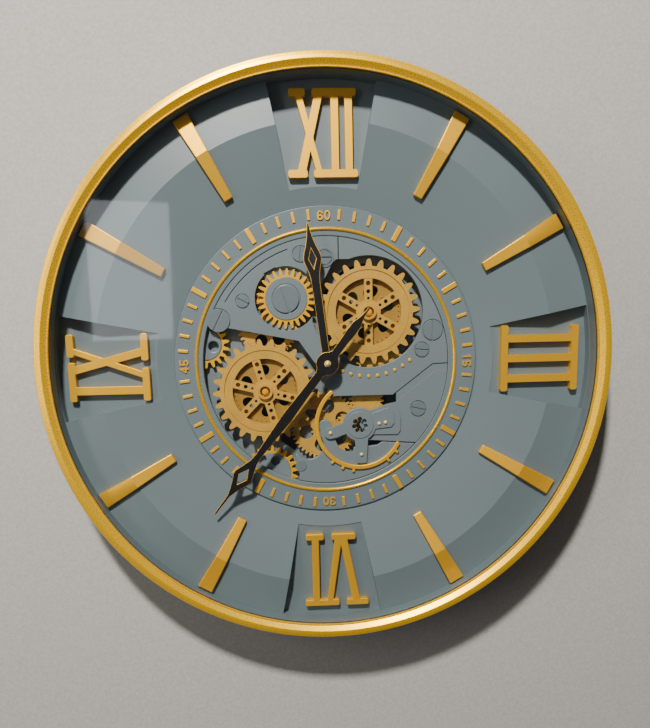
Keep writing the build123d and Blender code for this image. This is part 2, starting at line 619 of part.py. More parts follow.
def make_bridges():
    window = disc(UPPER_WHEEL, WINDOW_RADIUS) + outline([(0, 88), (8, 103), (12, 107), (26, 107), (24, 90)])
    upper_left = outline([
        (-13, 1), (0, -5), (6, 4), (-3, 16), (-5, 18), (-14, 43), (-14, 60), (14, 100),
        (14, 140), (-140, 140), (-140, 42.5), (-125, 41), (-101, 38.5), (-29, 24),
    ])
    upper_left = (upper_left & Circle(PLATE_RADIUS)) + Circle(11.0) - window - Circle(5.1)
    pocket = disc(CROWN_WHEEL, 33.0) + outline([(-70, 80), (-62, 91), (-64, 94), (-52, 100), (-40, 98)])
    see_through = pocket & outline([(-80, 40), (-66, 40), (-58, 60), (-58, 76), (-64, 90), (-80, 100)])
    see_through += pocket & outline([(-40, 30), (0, 30), (0, 64), (-24, 60)])
    see_through -= disc(CROWN_WHEEL, 20.0)
    plate = slab(upper_left, PLATE_REAR, PLATE_TOP)
    plate -= slab(pocket, PLATE_TOP - 4.5, PLATE_TOP + 1)
    plate -= slab(see_through, PLATE_REAR - 1, PLATE_TOP)
    arc_angles = (302.0, 342.0)
    groove = ring((0, 0), 124.5, 123.1) & outline([
        (0, 0), clock_place(200, arc_angles[0]), clock_place(240, sum(arc_angles) / 2),
        clock_place(200, arc_angles[1]),
    ])
    plate -= slab(groove, PLATE_TOP - 1.2, PLATE_TOP + 1)
    save("upper_left_bridge", plate - screw_grooves("upper_left"))

    right = outline([
        (4, -35.5), (71, -35.5), (73.5, -33.5), (114, -3), (140, -2), (140, 140), (15, 140), (15, 100),
        (40, 0), (10, 0), (-4, -20),
    ])
    right = (right & Circle(PLATE_RADIUS)) - window - Circle(12.5)
    right_piece = slab(right, PLATE_REAR, PLATE_TOP)
    save("right_bridge", right_piece - screw_grooves("right"))

    lower_right = outline([
        (34.5, -67), (46, -52), (65, -45.5), (75, -43.5), (118, -10.5), (140, -10.5), (140, -91), (96, -88),
        (44, -84),
    ])
    ledge = outline([(65, -45.5), (75, -46), (74.8, -33.2), (114.3, -3.5), (140, -2.5), (140, -30), (100, -60)])
    edge = Circle(PLATE_RADIUS)
    piece = slab(lower_right & edge, PLATE_REAR, PLATE_TOP)
    piece += slab((lower_right + ledge) & edge, PLATE_REAR, PLATE_TOP - 1.2)
    save("lower_right_bridge", piece - screw_grooves("lower_right"))

    lower = outline([
        (-36, -98), (-14, -98), (-11, -80), (-8, -70), (3, -70), (7, -81), (12, -93), (20, -96.5),
        (27, -97), (28, -92), (44, -91), (54, -90), (59, -86.4), (96, -89.4), (112, -90.5), (112, -140),
        (-36, -140),
    ])
    lower = (lower & Circle(PLATE_RADIUS)) - disc((-21, -88), 15.6) - disc(LOWER_ORNAMENT, 31.0)
    lower += disc(THIRD, 7.0)
    boss_bore = slab(disc(THIRD, ARBOR_HOLE_RADIUS), PLATE_REAR - 1, PLATE_REAR + 4)
    save("lower_bridge", slab(lower, PLATE_REAR, PLATE_TOP) - boss_bore)


def slotted_head(centre, radius, slot_angle, height, seat):
    """Low screw head with a straight slot."""
    head = slab(disc(centre, radius), seat, seat + height)
    slot = slab(bar(centre, 2.2 * radius, 0.1 * radius + 0.7, slot_angle), seat + 0.15 * height, seat + height + 1)
    return head - slot


def make_screws():
    heads = []
    for group in PLATE_SCREWS.values():
        for place, radius, angle in group:
            heads.append(slotted_head(place, radius, angle, 1.2, PLATE_TOP))
    heads.append(slab(ring(CENTRE_SCREW, 10.0, 8.0), PLATE_TOP, PLATE_TOP + 1.0))
    heads.append(slotted_head(CENTRE_SCREW, 7.3, 0.0, 1.6, PLATE_TOP))
    heads.append(slab(disc(LOWER_STUD, 6.0), PLATE_TOP, PLATE_TOP + 0.8))
    save("bridge_screws", heads)


def make_accents():
    """Row of small raised studs along the arc of the right bridge."""
    studs = []
    for index in range(9):
        place = polar(UPPER_WHEEL, 67.5, 245.0 + 8.2 * index)
        studs.append(slab(disc(place, 1.9), PLATE_TOP, PLATE_TOP + 1.2))
    save("bridge_studs", studs)


# ---- crown wheel and ornaments ------------------------------------------
def make_crown_wheel():
    seat = PLATE_TOP - 4.5
    teeth = cut_teeth(CROWN_WHEEL, 26, 31.0, 23.8, 2.2, 4.0, 4.0)
    save("crown_wheel", slab(teeth - disc(CROWN_WHEEL, 22.2), seat, seat + 3.6))
    cap = slab(disc(CROWN_WHEEL, 22.0), seat, PLATE_TOP)
    cap = cap - slab(ring(CROWN_WHEEL, 15.2, 14.4), PLATE_TOP - 0.8, PLATE_TOP + 1)
    save("crown_cap", cap)
    save("crown_screw", slotted_head((-42.0, 67.5), 14.0, 107.0, 1.6, PLATE_TOP))


def make_ornament(name, centre, tip_radius, hole_places, tooth_count, turn):
    """Fixed half-hidden wheel: a domed plate with a toothed gold rim below the chapter ring."""
    trim = slab(Circle(MAIN_PLATE_RADIUS), MAIN_PLATE_FRONT, PLATE_REAR)
    teeth = cut_teeth(centre, tooth_count, tip_radius, tip_radius - 6.0, 2.2, 4.2, turn)
    rim = slab(teeth - disc(centre, tip_radius - 8.0), DRIVE_REAR, DRIVE_FRONT)
    plate = slab(disc(centre, tip_radius - 8.2), MAIN_PLATE_FRONT, DRIVE_FRONT + 1.0)
    for place, radius in hole_places:
        plate -= slab(disc(place, radius), MAIN_PLATE_FRONT - 1, DRIVE_FRONT + 2)
    save(f"{name}_teeth", rim & trim)
    save(f"{name}_hub", plate & trim)


# ---- moving wheels ------------------------------------------------------
def leaf_holes(centre, turn):
    """Six oval openings of a pierced disc, one beside each spoke."""
    leaves = None
    for index in range(6):
        angle = turn + 60.0 * index
        place = polar(centre, 21.3, angle)
        leaf = Pos(place[0], place[1]) * Rot(0, 0, angle - 60.0) * Ellipse(8.3, 6.2)
        leaves = leaf if leaves is None else leaves + leaf
    return leaves


def make_big_wheel(name, centre, tip_radius, teeth, tooth_phase, spoke_turn, gear_teeth, gear_phase):
    """Show wheel with six pierced spokes, the pierced disc behind it, its drive gear and its arbor."""
    band_radius = 43.2
    rim_inside = 34.8
    outer_rim = cut_teeth(centre, teeth, tip_radius, tip_radius - 7.2, 3.2, 7.0, tooth_phase)
    spokes = disc(centre, 13.0)
    holes = disc(centre, 5.6)
    for index in range(6):
        angle = spoke_turn + 60.0 * index
        spokes += bar(polar(centre, 22.0, angle), 30.0, 8.8, angle)
        holes += disc(polar(centre, 29.8, angle), 2.4)
        holes += disc(polar(centre, 21.4, angle), 2.1)
        holes += disc(polar(centre, 14.4, angle), 1.5)
    wheel = slab(outer_rim - disc(centre, band_radius), RIM_REAR, RIM_FRONT)
    wheel += slab(ring(centre, band_radius + 1.0, rim_inside), RIM_REAR, RIM_FRONT - 0.6)
    wheel -= slab(ring(centre, band_radius + 0.5, band_radius - 0.3), RIM_FRONT - 1.6, RIM_FRONT + 1)
    wheel += slab((spokes & disc(centre, rim_inside + 1.0)) - holes, RIM_REAR, RIM_FRONT - 1.0)
    wheel += slab(ring(centre, 8.0, 5.6), RIM_REAR, HUB_FRONT)
    wheel += slab(ring(centre, 5.8, ARBOR_RADIUS), RIM_REAR, RIM_REAR + 1.0)
    save(f"{name}_show_wheel", wheel)

    leaves = leaf_holes(centre, spoke_turn - 8.0)
    pierced = disc(centre, 40.0)
    dots = 40
    for index in range(dots):
        pierced -= disc(polar(centre, 33.2, FULL_TURN * index / dots), 0.7)
    gear_piece = slab(gear_outline(centre, gear_teeth, gear_phase), DRIVE_REAR, DRIVE_FRONT)
    gear_piece += slab(disc(centre, 12.0), DRIVE_FRONT, DISC_REAR)
    gear_piece += slab(pierced, DISC_REAR, DISC_FRONT)
    gear_piece -= slab(leaves + disc(centre, ARBOR_RADIUS), DRIVE_REAR - 1, DISC_FRONT + 1)
    save(f"{name}_drive_gear", gear_piece)

    arbor = slab(disc(centre, ARBOR_RADIUS), ARBOR_REAR, HUB_FRONT)
    arbor += slab(disc(centre, 3.2), RIM_REAR + 1.0, HUB_FRONT - 0.8)
    arbor += slab(disc(centre, 3.6), MAIN_PLATE_FRONT + 0.4, DRIVE_REAR)
    arbor += slab(disc(centre, 3.6), DISC_FRONT, RIM_REAR)
    arbor += slab(disc(centre, 3.6), ARBOR_REAR, MAIN_PLATE_REAR - 0.4)
    save(f"{name}_arbor", arbor)


def plain_arbor(centre, face):
    arbor = slab(disc(centre, ARBOR_RADIUS), ARBOR_REAR, face)
    return arbor + slab(disc(centre, 3.6), ARBOR_REAR, MAIN_PLATE_REAR - 0.4)


def make_train():
    hole_ring = [polar(THIRD, 21.0, 20.0 + 60.0 * index) for index in range(6)]
    third = gear_outline(THIRD, THIRD_TEETH, THIRD_PHASE)
    for place in hole_ring:
        third -= disc(place, 7.6)
    third_solid = slab(third, DRIVE_REAR, DRIVE_FRONT)
    third_solid -= slab(ring(THIRD, 33.0, 32.2), DRIVE_FRONT - 0.5, DRIVE_FRONT + 1)
    third_solid -= slab(disc(THIRD, ARBOR_RADIUS), DRIVE_REAR - 1, DRIVE_FRONT + 1)
    save("third_wheel", third_solid)
    pinion = slab(gear_outline(THIRD, THIRD_PINION_TEETH, 0.0), TRAIN_REAR, TRAIN_FRONT)
    pinion += slab(disc(THIRD, 5.0), TRAIN_FRONT, DRIVE_REAR)
    save("third_pinion", pinion + plain_arbor(THIRD, PLATE_REAR + 3.5))

    small = slab(gear_outline(SMALL, SMALL_TEETH, SMALL_PHASE), DRIVE_REAR, DRIVE_FRONT)
    small += slab(disc(SMALL, 2.8), MAIN_PLATE_FRONT + 0.4, DRIVE_REAR)
    small -= slab(ring(SMALL, 13.2, 12.4), DRIVE_FRONT - 0.5, DRIVE_FRONT + 1)
    small += plain_arbor(SMALL, DRIVE_FRONT)
    save("small_wheel", small - slab(disc(SMALL, 1.5), DRIVE_FRONT - 1.5, DRIVE_FRONT + 1))

    idler = slab(gear_outline(IDLER, IDLER_TEETH, IDLER_PHASE), DRIVE_REAR, DRIVE_FRONT)
    idler += slab(disc(IDLER, 3.6), MAIN_PLATE_FRONT + 0.4, DRIVE_REAR)
    save("idler_wheel", idler + plain_arbor(IDLER, DRIVE_FRONT + 1.0))

    left = gear_outline(LEFT_WHEEL, LEFT_TEETH, LEFT_PHASE)
    for index in range(6):
        left -= disc(polar(LEFT_WHEEL, 18.5, 5.0 + 60.0 * index), 6.6)
    left_solid = slab(left, DRIVE_REAR, DRIVE_FRONT)
    left_solid += slab(disc(LEFT_WHEEL, 3.6), MAIN_PLATE_FRONT + 0.4, DRIVE_REAR)
    save("left_wheel", left_solid + plain_arbor(LEFT_WHEEL, DRIVE_FRONT + 1.0))

    balance = gear_outline(BALANCE_WHEEL, BALANCE_WHEEL_TEETH, BALANCE_PHASE)
    wheel = slab(balance - disc(BALANCE_WHEEL, ARBOR_HOLE_RADIUS), TRAIN_REAR, TRAIN_FRONT)
    save("balance_wheel", wheel)

    motor = slab(gear_outline(MOTOR_SHAFT, MOTOR_TEETH, MOTOR_PHASE), DRIVE_REAR, DRIVE_FRONT)
    motor += slab(disc(MOTOR_SHAFT, 5.0), MOTOR_FACE + 0.4, DRIVE_REAR)
    motor += slab(disc(MOTOR_SHAFT, ARBOR_RADIUS), MOTOR_FACE - 8.0, MOTOR_FACE + 0.5)
    save("motor_pinion", motor)


# ---- balance ------------------------------------------------------------
def make_balance():
    centre = BALANCE_CENTRE
    petals = disc(centre, 4.2)
    for index in range(7):
        petals += disc(polar(centre, 6.2, 90.0 + FULL_TURN * index / 7), 2.5)
    lower_arm = outline([(28.5, -80), (43.5, -80), (41.5, -109), (31, -109)])
    left_arm = outline([(25, -61), (24, -75), (4, -81.5), (0, -70.5)]) + disc((2, -75.5), 6.0)
    pad = outline([
        (40, -54), (47, -51.5), (62, -46.5), (70, -45.5), (77, -52), (79, -60), (79, -74), (76, -78.5),
        (50, -78), (44, -84), (38, -80),
    ])
    step = outline([
        (40, -58), (47, -55.5), (60, -50.5), (66, -49.5), (71, -54), (72, -66), (69, -70), (50, -72), (40, -76),
    ])
    body = disc(centre, 18.5) + lower_arm + left_arm
    cock = slab(body + pad, PLATE_TOP, PLATE_TOP + 1.6)
    cock += slab(disc(centre, 17.6) + step + lower_arm + left_arm, PLATE_TOP, PLATE_TOP + 3.0)
    cock += slab(disc(centre, 14.5), PLATE_TOP, PLATE_TOP + 3.8)
    cock -= slab(petals, PLATE_TOP - 1, PLATE_TOP + 5)
    save("balance_cock", cock)


def dome(centre, radius, seat):
    """Half ball standing on a plate."""
    ball = Pos(centre[0], -seat, centre[1]) * Sphere(radius)
    return ball & slab(disc(centre, radius + 1.0), seat, seat + radius + 1.0)


def make_balance_rim():
    centre = BALANCE_CENTRE
    start, end = 131.0, 332.0
    arc = ring(centre, 49.0, 44.5)
    gap = outline([centre, polar(centre, 90, end), polar(centre, 110, end + 50), polar(centre, 110, start - 50),
                   polar(centre, 90, start)])
    rim = arc - gap
    rim += disc(polar(centre, 46.75, start), 2.25) + disc(polar(centre, 46.75, end), 2.25)
    for place in ((3.5, -108.5), (15.0, -115.0), (27.0, -119.0), (65.0, -106.0), (74.5, -97.5)):
        angle = direction(centre, place)
        rim += bar(polar(centre, 50.0, angle), 5.0, 3.0, angle)
    save("balance_rim", slab(rim, PLATE_TOP, PLATE_TOP + 2.6) - slab(
        outline([(31, -109.2), (41.7, -109.2), (41.7, -106), (31, -106)]), PLATE_TOP - 1, PLATE_TOP + 4))
    pearls = []
    for place in ((55.5, -66.0), (62.5, -65.0), (2.5, -75.0), (36.0, -99.5)):
        pearls.append(dome(place, 2.1, PLATE_TOP + 3.0))
    save("balance_pearls", pearls)


# ---- movement, motor, batteries -----------------------------------------
MOVEMENT_SIZE = 56.0
MOVEMENT_REAR = 7.0
MOTOR_FACE = 24.0
MOTOR_REAR = 4.0
MOTOR_LEFT = 66.0
MOTOR_RIGHT = 118.0
MOTOR_BOTTOM = -72.0
MOTOR_TOP = 22.0
CELL_RADIUS = 7.1
CELL_LENGTH = 50.0
CLOCK_CELL_Z = -17.5
MOTOR_CELL_X = 92.0
MOTOR_CELL_Z = -44.0
KNOB_PLACE = (-14.0, 14.0)
SWITCH_PLACE = (92.0, 8.0)
SWITCH_TRAVEL = 4.0


def box_sketch(left, right, bottom, top):
    return Pos((left + right) / 2, (bottom + top) / 2) * Rectangle(right - left, top - bottom)


def cell(centre, upright):
    """Dry cell with its raised contact, lying in the plane of the back."""
    can = Cylinder(CELL_RADIUS, CELL_LENGTH - 1.5)
    tip = Pos(0, 0, (CELL_LENGTH - 1.5) / 2 + 0.75) * Cylinder(2.7, 1.5)
    whole = can + tip
    turn = Rot(0, 0, 0) if upright else Rot(0, 90, 0)
    return Pos(centre[0], -(MOVEMENT_REAR + 8.0), centre[1]) * turn * whole


def make_movement():
    housing = slab(RectangleRounded(MOVEMENT_SIZE, MOVEMENT_SIZE, 4.0), MOVEMENT_REAR, MAIN_PLATE_REAR)
    bay = box_sketch(-CELL_LENGTH / 2 - 1, CELL_LENGTH / 2 + 1, CLOCK_CELL_Z - 8.0, CLOCK_CELL_Z + 8.0)
    housing -= slab(bay, MOVEMENT_REAR - 1, MOVEMENT_REAR + 15.6)
    housing += slab(Circle(5.0), MAIN_PLATE_REAR - 1, PLATE_TOP + 3.5)
    housing -= slab(Circle(3.6), MAIN_PLATE_REAR - 6, PLATE_TOP + 4)
    housing -= slab(disc(KNOB_PLACE, 2.1), MOVEMENT_REAR - 1, MOVEMENT_REAR + 8)
    save("clock_movement", housing)
    nut = slab(RegularPolygon(8.0, 6) - Circle(5.0), PLATE_TOP, PLATE_TOP + 2.5)
    save("movement_nut", nut)
    knob = slab(disc(KNOB_PLACE, 6.5), 1.0, 5.0) + slab(disc(KNOB_PLACE, 2.0), 5.0, MOVEMENT_REAR + 7.5)
    for index in range(12):
        knob -= slab(disc(polar(KNOB_PLACE, 6.9, 30.0 * index), 0.9), 0.5, 4.0)
    save("set_knob", knob)


def make_motor():
    housing = slab(box_sketch(MOTOR_LEFT, MOTOR_RIGHT, MOTOR_BOTTOM, MOTOR_TOP), MOTOR_REAR, MOTOR_FACE)
    bay = box_sketch(
        MOTOR_CELL_X - 16.0, MOTOR_CELL_X + 16.0,
        MOTOR_CELL_Z - CELL_LENGTH / 2 - 1, MOTOR_CELL_Z + CELL_LENGTH / 2 + 1,
    )
    housing -= slab(bay, MOTOR_REAR - 1, MOTOR_REAR + 18.6)
    housing -= slab(disc(MOTOR_SHAFT, ARBOR_HOLE_RADIUS), MOTOR_FACE - 9, MOTOR_FACE + 1)
    housing -= slab(Pos(*SWITCH_PLACE) * Rectangle(18.0, 7.0), MOTOR_REAR - 1, MOTOR_REAR + 4)
    save("motor_unit", housing)
    save("battery_cells", [
        cell((0, CLOCK_CELL_Z), False),
        cell((MOTOR_CELL_X - 7.8, MOTOR_CELL_Z), True),
        cell((MOTOR_CELL_X + 7.8, MOTOR_CELL_Z), True),
    ])
    slider = Pos(SWITCH_PLACE[0] - SWITCH_TRAVEL / 2, SWITCH_PLACE[1])
    switch = slab(slider * Rectangle(10.0, 6.0), MOTOR_REAR - 0.6, MOTOR_REAR + 3.6)
    switch += slab(slider * Rectangle(4.0, 4.4), 0.8, MOTOR_REAR)
    save("slide_switch", switch)


CLOCK_DOOR = (58.0, 22.0)
MOTOR_DOOR = (38.0, 58.0)
DOOR_GAP = 0.4


def make_back():
    clock_door_place = (0.0, CLOCK_CELL_Z)
    motor_door_place = (MOTOR_CELL_X, MOTOR_CELL_Z)
    panel = Circle(BACK_PANEL_RADIUS)
    panel -= Pos(*clock_door_place) * Rectangle(*CLOCK_DOOR)
    panel -= Pos(*motor_door_place) * Rectangle(*MOTOR_DOOR)
    panel -= disc(KNOB_PLACE, 9.0)
    panel -= Pos(*SWITCH_PLACE) * Rectangle(4.0 + 2 * SWITCH_TRAVEL, 5.4)
    panel -= Pos(0, HANGER_HEIGHT) * Rectangle(34.0, 24.0)
    hanger = Pos(0, HANGER_HEIGHT) * Rectangle(70.0, 34.0)
    hanger -= disc((0, HANGER_HEIGHT), HANG_HOLE_RADIUS)
    save("hanger_plate", slab(hanger, BACK_PANEL_THICKNESS, BACK_PANEL_THICKNESS + HANGER_THICKNESS))
    for name, place, size in (
        ("clock_battery_door", clock_door_place, CLOCK_DOOR),
        ("motor_battery_door", motor_door_place, MOTOR_DOOR),
    ):
        lid = Pos(*place) * Rectangle(size[0] - 2 * DOOR_GAP, size[1] - 2 * DOOR_GAP)
        lip = Pos(*place) * Rectangle(size[0] / 3, size[1] / 3)
        save(name, slab(lid, 0.3, 2.7) - slab(lip, -0.5, 0.9))
    places = [clock_place(281.0, 22.5 + 45.0 * index) for index in range(8)]
    places += [(-28.0, HANGER_HEIGHT), (28.0, HANGER_HEIGHT)]
    for place in places:
        panel -= disc(place, 3.3)
    save("back_panel", slab(panel, 0, BACK_PANEL_THICKNESS))
    save("rear_screws", [rear_screw(place) for place in places])


def rear_screw(place):
    """Raised-head screw seen from behind, its head let into the panel's rear face."""
    head = slab(disc(place, 3.2), 0.2, 1.4) + slab(disc(place, 1.5), 1.4, 2.9)
    return head - slab(bar(place, 7.0, 0.9), 0.0, 0.8)


# ---- hands --------------------------------------------------------------
def mirrored(points):
    """Closed outline from (radius, half width) points along +Y of the sketch."""
    right_side = [(half, radius) for radius, half in points]
    left_side = [(-half, radius) for radius, half in reversed(points)]
    return outline(right_side + left_side)


def make_hands():
    hour = mirrored([
        (6, 4.0), (60, 4.3), (84, 4.5), (92, 5.4), (99, 7.4), (105, 9.2), (109, 9.4), (114, 8.0), (120, 5.6),
        (128, 3.3), (136, 1.8), (143, 0.9),
    ])
    hour += Circle(10.0)
    hour -= outline([(0, 97.5), (3.9, 107.5), (0, 117.5), (-3.9, 107.5)])
    hour -= Circle(2.4)
    hand = slab(hour, HOUR_HAND_REAR, HOUR_HAND_REAR + HAND_THICKNESS)
    pipe = slab(ring((0, 0), 3.5, 2.4), MAIN_PLATE_REAR - 4, HOUR_HAND_REAR + HAND_THICKNESS)
    save("hour_hand", around(hand, HOUR_HAND_ANGLE) + pipe)

    blade = mirrored([
        (6, 8.0), (14, 4.6), (40, 4.8), (70, 5.8), (100, 4.4), (122, 3.3), (130, 4.0), (140, 7.4), (149, 10.6),
        (153, 10.0), (161, 6.4), (168, 3.6), (176, 1.4), (201, 0.9),
    ])
    tail = mirrored([
        (-6, 8.0), (-14, 4.4), (-28, 4.3), (-40, 5.0), (-50, 4.8), (-57, 2.8), (-62, 1.6), (-72, 0.9),
    ])
    minute = blade + tail + Circle(12.0)
    minute -= outline([(0, 139.5), (5.4, 150), (0, 160.5), (-5.4, 150)])
    minute -= Circle(2.2)
    hand = slab(minute, MINUTE_HAND_REAR, MINUTE_HAND_REAR + HAND_THICKNESS)
    save("minute_hand", around(hand, MINUTE_HAND_ANGLE))
    face = MINUTE_HAND_REAR + HAND_THICKNESS
    shaft = slab(Circle(2.2), MAIN_PLATE_REAR - 5, face)
    cap = slab(Circle(3.4), face, face + 0.6) + dome((0.0, 0.0), 3.0, face)
    save("hand_cap", shaft + cap)


# ---- build --------------------------------------------------------------
make_case()
make_bezel()
make_bezel_screws()
make_glass()
make_dial()
make_chapter_ring()
make_marks()
make_numbers()
make_numerals()
make_hour_bars()
make_main_plate()
make_bridges()
make_screws()
make_accents()
make_crown_wheel()
make_ornament("left_ornament", LEFT_ORNAMENT, 25.0, [((-120.0, 20.0), 5.5)], 18, 8.0)
make_ornament("lower_ornament", LOWER_ORNAMENT, 29.5, [((-73, -103), 5.0), ((-58, -105.5), 5.0)], 22, 4.0)
make_big_wheel("upper", UPPER_WHEEL, 54.5, 25, 89.0, 90.0, UPPER_TEETH, UPPER_PHASE)
make_big_wheel("lower", LOWER_WHEEL, 55.5, 25, 181.5, 105.0, LOWER_TEETH, LOWER_PHASE)
make_train()
make_balance()
make_balance_rim()
make_movement()
make_motor()
make_back()
make_hands()
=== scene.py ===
import json
import math

import bpy
from mathutils import Matrix, Vector

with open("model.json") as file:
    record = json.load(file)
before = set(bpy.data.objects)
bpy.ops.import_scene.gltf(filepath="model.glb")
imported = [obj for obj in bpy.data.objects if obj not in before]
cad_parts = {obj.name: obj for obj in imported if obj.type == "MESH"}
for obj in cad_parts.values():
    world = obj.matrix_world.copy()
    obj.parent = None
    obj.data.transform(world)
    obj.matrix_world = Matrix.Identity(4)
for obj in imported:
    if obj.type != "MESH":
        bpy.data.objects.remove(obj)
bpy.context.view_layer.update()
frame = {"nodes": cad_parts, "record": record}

# Looks of the skeleton wall clock. Metres, X to the right, Y into the wall, Z up.

MM = 0.001
WALL_GAP = 1.0 * MM
WALL_HALF_WIDTH = 3.0
EDGE_ANGLE = 40.0
FLAT_ANGLE = 1.0
JOIN_DISTANCE = 0.01 * MM
GLASS_REFLECTION = 0.05
FACE_ON_COSINE = 0.95


# ---- node helpers -------------------------------------------------------
def new_material(name):
    """Empty node material with a Principled shader and an object-space coordinate."""
    material = bpy.data.materials.new(name)
    material.use_nodes = True
    nodes = material.node_tree.nodes
    nodes.clear()
    output = nodes.new("ShaderNodeOutputMaterial")
    shader = nodes.new("ShaderNodeBsdfPrincipled")
    material.node_tree.links.new(shader.outputs["BSDF"], output.inputs["Surface"])
    place = nodes.new("ShaderNodeTexCoord")
    return material, shader, place.outputs["Object"]


def link(material, source, target):
    material.node_tree.links.new(source, target)


def noise(material, place, scale, detail=3.0, stretch=None):
    """Noise in object space; scale is in features per metre."""
    nodes = material.node_tree.nodes
    if stretch is not None:
        mapping = nodes.new("ShaderNodeMapping")
        mapping.inputs["Scale"].default_value = stretch
        link(material, place, mapping.inputs["Vector"])
        place = mapping.outputs["Vector"]
    texture = nodes.new("ShaderNodeTexNoise")
    texture.inputs["Scale"].default_value = scale
    texture.inputs["Detail"].default_value = detail
    texture.inputs["Roughness"].default_value = 0.6
    link(material, place, texture.inputs["Vector"])
    return texture.outputs["Fac"]


def ramp(material, value, stops):
    """Colour ramp through (position, colour) stops."""
    node = material.node_tree.nodes.new("ShaderNodeValToRGB")
    elements = node.color_ramp.elements
    while len(elements) > 1:
        elements.remove(elements[-1])
    elements[0].position = stops[0][0]
    elements[0].color = (*stops[0][1], 1.0)
    for position, colour in stops[1:]:
        element = elements.new(position)
        element.color = (*colour, 1.0)
    link(material, value, node.inputs["Fac"])
    return node.outputs["Color"]


def remap(material, value, low, high):
    """Spread the middle of a noise between two values."""
    node = material.node_tree.nodes.new("ShaderNodeMapRange")
    node.inputs["From Min"].default_value = 0.3
    node.inputs["From Max"].default_value = 0.7
    node.inputs["To Min"].default_value = low
    node.inputs["To Max"].default_value = high
    link(material, value, node.inputs["Value"])
    return node.outputs["Result"]


def bump(material, shader, value, depth, strength):
    """Surface relief; depth is in metres."""
    node = material.node_tree.nodes.new("ShaderNodeBump")
    node.inputs["Distance"].default_value = depth
    node.inputs["Strength"].default_value = strength
    link(material, value, node.inputs["Height"])
    link(material, node.outputs["Normal"], shader.inputs["Normal"])


def mixed(material, factor, first, second):
    """Mix of two colours. The factor is a number or an output."""
    node = material.node_tree.nodes.new("ShaderNodeMix")
    node.data_type = "RGBA"
    if isinstance(factor, float):
        node.inputs[0].default_value = factor
    else:
        link(material, factor, node.inputs[0])
    link(material, first, node.inputs[6])
    link(material, second, node.inputs[7])
    return node.outputs[2]


def shade(colour, factor):
    return tuple(min(1.0, channel * factor) for channel in colour)


def finish(name, colour, metallic, rough, grain, relief, spread, gloss=0.5):
    """Painted, plated or moulded finish: cloudy tone, fine grain, uneven gloss and a little relief.

    The grain is in features per metre, the relief in metres, and the spread is how far the tone varies.
    """
    material, shader, place = new_material(name)
    cloud = noise(material, place, 9.0, 2.0)
    fine = noise(material, place, grain, 4.0)
    broad = ramp(material, cloud, [(0.32, shade(colour, 1 - spread)), (0.68, shade(colour, 1 + spread))])
    darkest = shade(colour, 1 - 1.4 * spread)
    lightest = shade(colour, 1 + 1.1 * spread)
    close = ramp(material, fine, [(0.3, darkest), (0.7, lightest)])
    link(material, mixed(material, 0.5, broad, close), shader.inputs["Base Color"])
    link(material, remap(material, fine, rough - 0.05, rough + 0.07), shader.inputs["Roughness"])
    shader.inputs["Metallic"].default_value = metallic
    shader.inputs["Specular IOR Level"].default_value = gloss
    bump(material, shader, fine, relief, 0.5)
    return material


# ---- finishes -----------------------------------------------------------
DIAL_BLUE = (0.140, 0.187, 0.206)
PLATE_BLUE = (0.162, 0.207, 0.225)
GOLD = (1.0, 0.52, 0.02)
BEZEL_GOLD = (1.0, 0.56, 0.015)
WHEEL_GOLD = (0.62, 0.355, 0.05)
BLACK = (0.018, 0.018, 0.018)
HAND_BLACK = (0.006, 0.006, 0.006)
STEEL = (0.55, 0.55, 0.53)


def hand_finish():
    """Black faces with bevelled edges left in gold."""
    material, shader, place = new_material("hand_black_gold")
    nodes = material.node_tree.nodes
    fine = noise(material, place, 700.0, 3.0)
    black = ramp(material, fine, [(0.3, shade(HAND_BLACK, 0.7)), (0.7, shade(HAND_BLACK, 1.6))])
    gold = ramp(material, fine, [(0.3, shade(GOLD, 0.9)), (0.7, GOLD)])
    geometry = nodes.new("ShaderNodeNewGeometry")
    split = nodes.new("ShaderNodeSeparateXYZ")
    link(material, geometry.outputs["True Normal"], split.inputs["Vector"])
    facing = nodes.new("ShaderNodeMath")
    facing.operation = "ABSOLUTE"
    link(material, split.outputs["Y"], facing.inputs[0])
    is_edge = nodes.new("ShaderNodeMath")
    is_edge.operation = "LESS_THAN"
    is_edge.inputs[1].default_value = FACE_ON_COSINE
    link(material, facing.outputs["Value"], is_edge.inputs[0])
    link(material, mixed(material, is_edge.outputs["Value"], black, gold), shader.inputs["Base Color"])
    shader.inputs["Metallic"].default_value = 0.3
    link(material, remap(material, fine, 0.34, 0.44), shader.inputs["Roughness"])
    return material


def wheel_finish(name, gold):
    """Sandy gold coat with darker grains, as on a metallic-painted moulding."""
    material, shader, place = new_material(name)
    cloud = noise(material, place, 45.0, 3.0)
    sand = noise(material, place, 1500.0, 2.0)
    tone = ramp(material, cloud, [(0.3, shade(gold, 0.84)), (0.7, shade(gold, 1.12))])
    grains = ramp(material, sand, [
        (0.30, shade(gold, 0.5)), (0.44, gold), (0.62, shade(gold, 1.3)),
    ])
    link(material, mixed(material, 0.42, tone, grains), shader.inputs["Base Color"])
    shader.inputs["Metallic"].default_value = 0.35
    link(material, remap(material, sand, 0.42, 0.6), shader.inputs["Roughness"])
    bump(material, shader, sand, 0.25 * MM, 0.5)
    return material


def glass_finish():
    """Clear flat glass that reflects a few percent and lets the light through."""
    material, shader, place = new_material("clear_glass")
    shader.inputs["Metallic"].default_value = 1.0
    smear = noise(material, place, 14.0, 2.0)
    link(material, ramp(material, smear, [(0.3, (0.93, 0.96, 0.97)), (0.7, (1.0, 1.0, 1.0))]),
         shader.inputs["Base Color"])
    link(material, remap(material, smear, 0.02, 0.05), shader.inputs["Roughness"])
    shader.inputs["Alpha"].default_value = GLASS_REFLECTION
    return material


